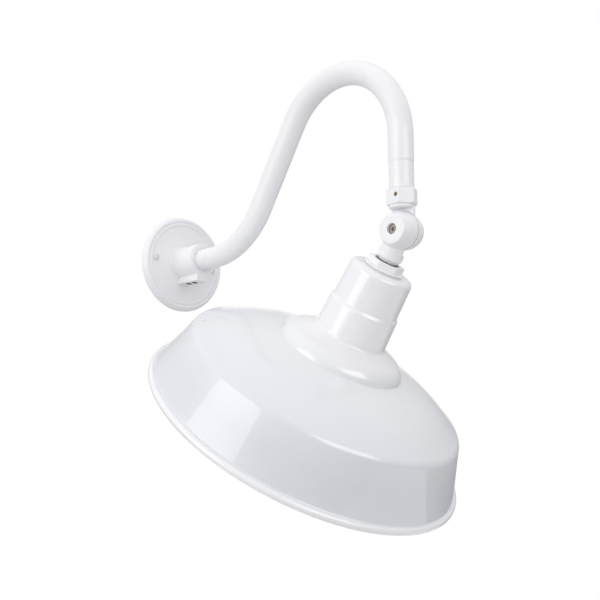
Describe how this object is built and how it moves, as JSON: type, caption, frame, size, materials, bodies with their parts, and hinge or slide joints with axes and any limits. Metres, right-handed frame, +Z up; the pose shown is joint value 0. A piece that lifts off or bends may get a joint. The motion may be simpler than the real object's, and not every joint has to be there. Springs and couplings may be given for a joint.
{
  "type": "outdoor wall lantern",
  "caption": "Gooseneck outdoor wall lantern: round wall plate, bent arm, serrated swivel knuckle and a bell-shaped shade over a screw-base lamp.",
  "frame": {"origin": "centre of the wall plate, on the wall's surface, midway between the two mounting screws", "axes": "+Y into the wall, +Z up, +X to the right as seen by a viewer who faces the wall"},
  "size_m": [0.3534, 0.4098, 0.4902],
  "materials": {
    "cast_white": "white powder coat, satin",
    "arm_white": "white powder coat, satin",
    "shade_white": "gloss white enamel",
    "screw_white": "white paint, satin",
    "stainless": "satin",
    "black_steel": "black oxide, satin",
    "zinc": "satin",
    "grey_rubber": "matte",
    "green_steel": "green, satin",
    "green_wire": "matte",
    "black_wire": "matte",
    "white_wire": "matte",
    "porcelain": "gloss",
    "brass": "satin",
    "base_metal": "satin",
    "base_black": "gloss",
    "solder": "satin",
    "lamp_glass": "gloss",
    "stem_glass": "gloss",
    "filament": "satin"
  },
  "bodies": {
    "wall": {"wall_plate": "cast_white", "wall_gasket": "grey_rubber", "mounting_screws": "screw_white", "hub_set_screws": "black_steel", "ground_screw": "green_steel", "ground_lead": "green_wire", "arm_tube": "arm_white", "arm_end_nipple": "zinc", "arm_lead_black": "black_wire", "arm_lead_white": "white_wire"},
    "swivel": {"swivel_upper_half": "cast_white", "collar_set_screw": "black_steel", "knuckle_bolt": "stainless", "knuckle_leads": "black_wire"},
    "head": {"swivel_lower_half": "cast_white", "bolt_washer": "stainless", "knuckle_seal": "grey_rubber", "shade_locknut": "cast_white", "shade_seal": "grey_rubber", "shade": "shade_white", "lampholder_cap": "zinc", "lampholder_body": "porcelain", "lampholder_screws": "stainless", "screw_shell": "brass", "centre_contact": "brass", "terminal_screws": "brass", "holder_lead_black": "black_wire", "holder_lead_white": "white_wire"},
    "lamp": {"lamp_base": "base_metal", "lamp_insulator": "base_black", "lamp_tip": "solder", "lamp_glass": "lamp_glass", "lamp_stem": "stem_glass", "lamp_filament": "filament"}
  },
  "joints": [
    {"name": "swivel_turn", "type": "hinge", "parent": "wall", "child": "swivel", "pos_m": [0, -0.3692, 0.02526], "axis": [0, -0.0262, 0.9997], "range_deg": [-90, 90]},
    {"name": "shade_tilt", "type": "hinge", "parent": "swivel", "child": "head", "pos_m": [0, -0.3681, -0.01702], "axis": [0.9954, 0.0958, 0.0025], "range_deg": [-125, 12]},
    {"name": "lamp_turn", "type": "hinge", "parent": "head", "child": "lamp", "pos_m": [-0.00413, -0.32351, -0.08052], "axis": [-0.0532, 0.5739, -0.8172], "range_deg": [0, 1080]}
  ]
}
